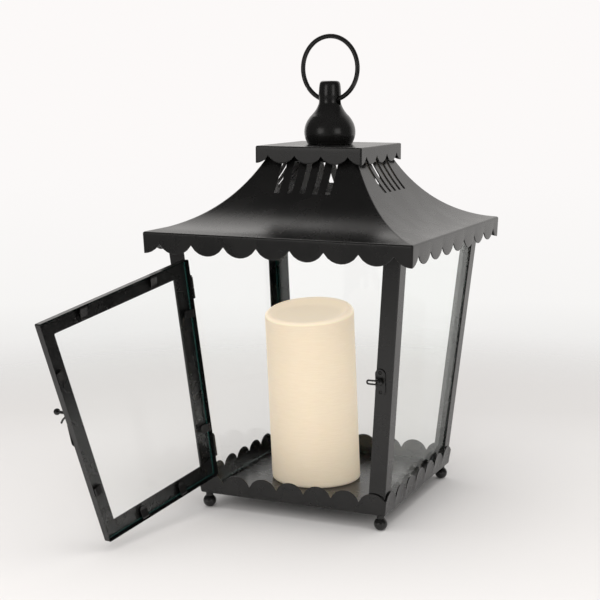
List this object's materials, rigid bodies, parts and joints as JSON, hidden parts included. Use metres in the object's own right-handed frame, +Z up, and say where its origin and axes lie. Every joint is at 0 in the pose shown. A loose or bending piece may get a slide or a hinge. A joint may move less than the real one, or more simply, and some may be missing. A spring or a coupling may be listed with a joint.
{
  "type": "moroccan metal candle lantern",
  "caption": "Square tapered metal lantern with a pagoda roof, scalloped edges, glass walls, a hinged glass door, a carrying ring and a pillar candle.",
  "frame": {"origin": "on the ground, under the middle of the square body", "axes": "+Z up; the door is in the -Y face with its hinges on the -X side; +X is the latch side"},
  "size_m": [0.2538, 0.3824, 0.407],
  "materials": {
    "black_sheet": "satin black powder coat",
    "black_fittings": "satin black paint, a little glossier",
    "clear_glass": "clear, polished",
    "ivory_wax": "ivory wax, faint brushed texture",
    "ivory_plastic": "moulded, satin",
    "bright_steel": "zinc plated",
    "cell_wrap": "plain battery sleeve"
  },
  "bodies": {
    "root": {"tray": "black_sheet", "foot_front_left": "black_fittings", "foot_front_right": "black_fittings", "foot_back_right": "black_fittings", "foot_back_left": "black_fittings", "post_front_left": "black_sheet", "post_front_right": "black_sheet", "post_back_right": "black_sheet", "post_back_left": "black_sheet", "header_frame": "black_sheet", "roof_panel_front": "black_sheet", "roof_panel_right": "black_sheet", "roof_panel_back": "black_sheet", "roof_panel_left": "black_sheet", "roof_crown": "black_sheet", "cap": "black_sheet", "finial": "black_fittings", "stud_nut": "bright_steel", "glass_right": "clear_glass", "glass_back": "clear_glass", "glass_left": "clear_glass", "pane_clip_right_a": "black_fittings", "pane_clip_right_b": "black_fittings", "pane_clip_back_a": "black_fittings", "pane_clip_back_b": "black_fittings", "pane_clip_left_a": "black_fittings", "pane_clip_left_b": "black_fittings", "hinge_upper_post": "black_fittings", "hinge_upper_pin": "bright_steel", "hinge_lower_post": "black_fittings", "hinge_lower_pin": "bright_steel", "keeper_plate": "black_fittings", "keeper_loop": "black_fittings", "keeper_rivet_high": "bright_steel", "keeper_rivet_low": "bright_steel", "candle_wax": "ivory_wax", "candle_led_insert": "ivory_plastic", "candle_battery_case": "ivory_plastic", "candle_battery_lid": "ivory_plastic", "candle_cell_1": "cell_wrap", "candle_cell_2": "cell_wrap"},
    "door": {"door_frame": "black_sheet", "door_glass": "clear_glass", "door_clip_top_left": "black_fittings", "door_clip_top_right": "black_fittings", "door_clip_bottom_left": "black_fittings", "door_clip_bottom_right": "black_fittings", "door_clip_latch_low": "black_fittings", "door_clip_latch_high": "black_fittings", "door_clip_hinge_low": "black_fittings", "door_clip_hinge_high": "black_fittings", "hinge_upper_door": "black_fittings", "hinge_lower_door": "black_fittings", "latch_plate": "black_fittings", "latch_pivot": "black_fittings", "latch_rivet_high": "bright_steel", "latch_rivet_low": "bright_steel"},
    "latch": {"latch_lever": "black_fittings"},
    "ring": {"carry_ring": "black_fittings"},
    "switch": {"candle_switch": "black_fittings"}
  },
  "joints": [
    {"name": "door_hinge", "type": "hinge", "parent": "root", "child": "door", "pos_m": [-0.07706, -0.09536, 0.1285], "axis": [0.0893, 0.0893, -0.992], "range_deg": [-105.4, 54.5]},
    {"name": "latch_turn", "type": "hinge", "parent": "door", "child": "latch", "pos_m": [-0.11539, -0.23304, 0.09953], "axis": [0.96, -0.273, 0.0618], "range_deg": [-90, 67]},
    {"name": "ring_swing", "type": "hinge", "parent": "root", "child": "ring", "pos_m": [0, 0, 0.3504], "axis": [0.9895, -0.1444, 0], "range_deg": [-128, 128]},
    {"name": "switch_slide", "type": "slide", "parent": "root", "child": "switch", "axis": [1, 0, 0], "range_m": [-0.003, 0]}
  ]
}
